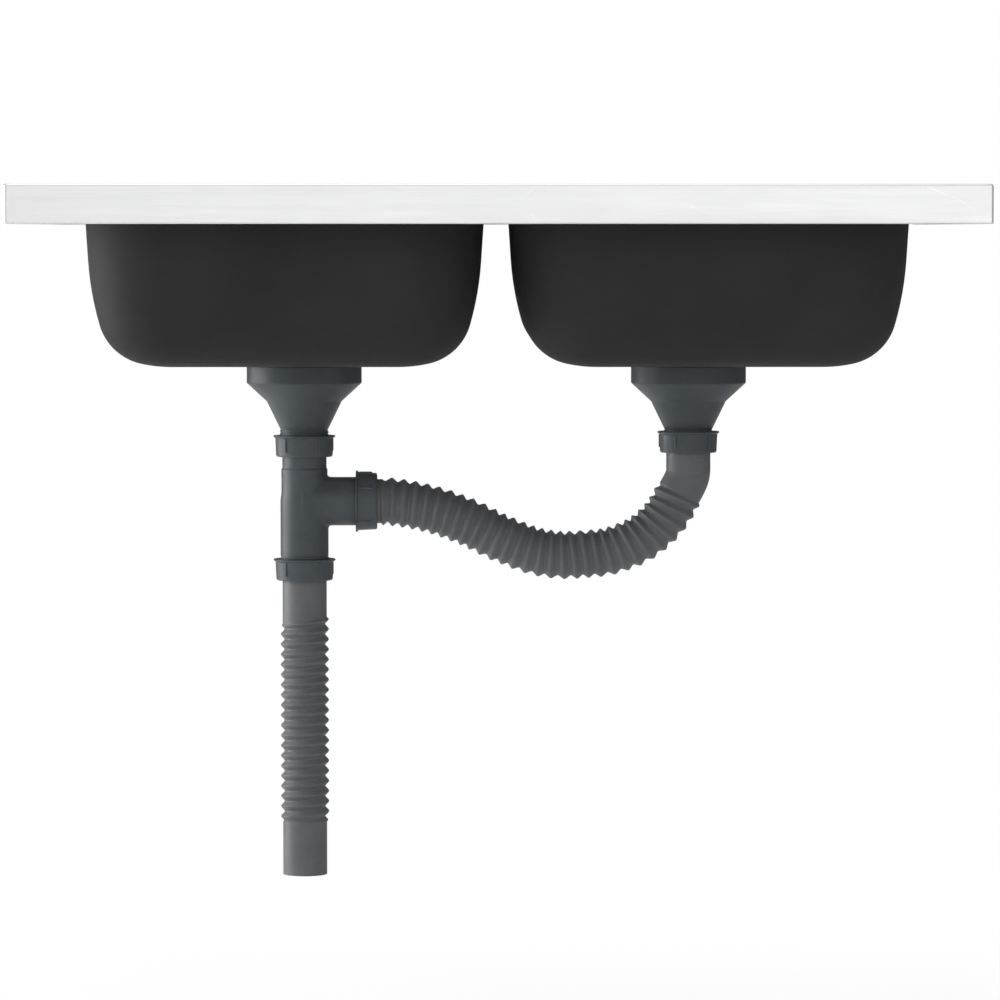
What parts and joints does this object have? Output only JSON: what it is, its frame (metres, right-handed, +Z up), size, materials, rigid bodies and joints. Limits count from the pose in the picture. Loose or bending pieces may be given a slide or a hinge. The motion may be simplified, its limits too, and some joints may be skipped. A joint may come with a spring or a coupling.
{
  "type": "double bowl kitchen sink",
  "caption": "Lay-on stainless double bowl kitchen sink with a deep apron, two coated bowls, basket strainers and a plastic drain set with union nuts and ribbed hoses.",
  "frame": {"origin": "centre of the plane on which the deck's return lip rests on the cabinet", "axes": "+X to the right seen from the front, +Y towards the back wall, +Z up out of the bowls"},
  "size_m": [0.8, 0.6, 0.5925],
  "materials": {
    "stainless": "fine satin brushed",
    "undercoat": "matte sprayed sound-deadening coat",
    "polished_steel": "polished pressed steel",
    "screw_steel": "bright machined",
    "rubber": "matte",
    "drain_plastic": "satin moulded polypropylene",
    "hose_plastic": "smooth blow-moulded polypropylene",
    "washer_plastic": "smooth",
    "knob_plastic": "semi-gloss",
    "brass": "machined"
  },
  "bodies": {
    "sink": {"deck": "stainless", "left_bowl": "stainless", "left_undercoat": "undercoat", "left_strainer_flange": "polished_steel", "left_flange_seal": "rubber", "left_body_gasket": "rubber", "left_drain_body": "drain_plastic", "left_clamp_screw": "screw_steel", "left_thread_insert": "brass", "left_cone_seal": "rubber", "right_bowl": "stainless", "right_undercoat": "undercoat", "right_strainer_flange": "polished_steel", "right_flange_seal": "rubber", "right_body_gasket": "rubber", "right_drain_body": "drain_plastic", "right_clamp_screw": "screw_steel", "right_thread_insert": "brass", "right_cone_seal": "rubber", "tee_pipe": "drain_plastic", "crossover_hose": "hose_plastic", "outlet_hose": "hose_plastic", "branch_cone_seal": "rubber", "lower_cone_seal": "rubber"},
    "left_basket": {"left_basket": "polished_steel", "left_basket_seal": "rubber", "left_basket_knob": "knob_plastic"},
    "right_basket": {"right_basket": "polished_steel", "right_basket_seal": "rubber", "right_basket_knob": "knob_plastic"},
    "left_slip_washer": {"left_slip_washer": "washer_plastic"},
    "left_union_nut": {"left_union_nut": "drain_plastic"},
    "right_slip_washer": {"right_slip_washer": "washer_plastic"},
    "right_union_nut": {"right_union_nut": "drain_plastic"},
    "branch_slip_washer": {"branch_slip_washer": "washer_plastic"},
    "branch_nut": {"branch_nut": "drain_plastic"},
    "lower_slip_washer": {"lower_slip_washer": "washer_plastic"},
    "lower_nut": {"lower_nut": "drain_plastic"}
  },
  "joints": [
    {"name": "left_basket_lift", "type": "slide", "parent": "sink", "child": "left_basket", "axis": [0, 0, 1], "range_m": [0, 0.2]},
    {"name": "right_basket_lift", "type": "slide", "parent": "sink", "child": "right_basket", "axis": [0, 0, 1], "range_m": [0, 0.2]},
    {"name": "left_union_nut_travel", "type": "slide", "parent": "sink", "child": "left_slip_washer", "axis": [0, 0, -1], "range_m": [0, 0.00924]},
    {"name": "left_union_nut_turn", "type": "hinge", "parent": "left_slip_washer", "child": "left_union_nut", "pos_m": [-0.1651, -0.046, -0.1812], "axis": [0, 0, -1], "range_deg": [0, 1440]},
    {"name": "right_union_nut_travel", "type": "slide", "parent": "sink", "child": "right_slip_washer", "axis": [0, 0, -1], "range_m": [0, 0.0127]},
    {"name": "right_union_nut_turn", "type": "hinge", "parent": "right_slip_washer", "child": "right_union_nut", "pos_m": [0.1651, -0.046, -0.17774], "axis": [0, 0, -1], "range_deg": [0, 1980]},
    {"name": "branch_nut_travel", "type": "slide", "parent": "sink", "child": "branch_slip_washer", "axis": [1, 0, 0], "range_m": [0, 0.00231]},
    {"name": "branch_nut_turn", "type": "hinge", "parent": "branch_slip_washer", "child": "branch_nut", "pos_m": [-0.1222, -0.046, -0.2379], "axis": [1, 0, 0], "range_deg": [0, 360]},
    {"name": "lower_nut_travel", "type": "slide", "parent": "sink", "child": "lower_slip_washer", "axis": [0, 0, -1], "range_m": [0, 0.00924]},
    {"name": "lower_nut_turn", "type": "hinge", "parent": "lower_slip_washer", "child": "lower_nut", "pos_m": [-0.1651, -0.046, -0.2875], "axis": [0, 0, -1], "range_deg": [0, 1440]}
  ],
  "couplings": [
    {"joint": "left_union_nut_turn", "follows": "left_union_nut_travel", "rad_per_m": 2721.2},
    {"joint": "right_union_nut_turn", "follows": "right_union_nut_travel", "rad_per_m": 2721.2},
    {"joint": "branch_nut_turn", "follows": "branch_nut_travel", "rad_per_m": 2721.2},
    {"joint": "lower_nut_turn", "follows": "lower_nut_travel", "rad_per_m": 2721.2}
  ]
}
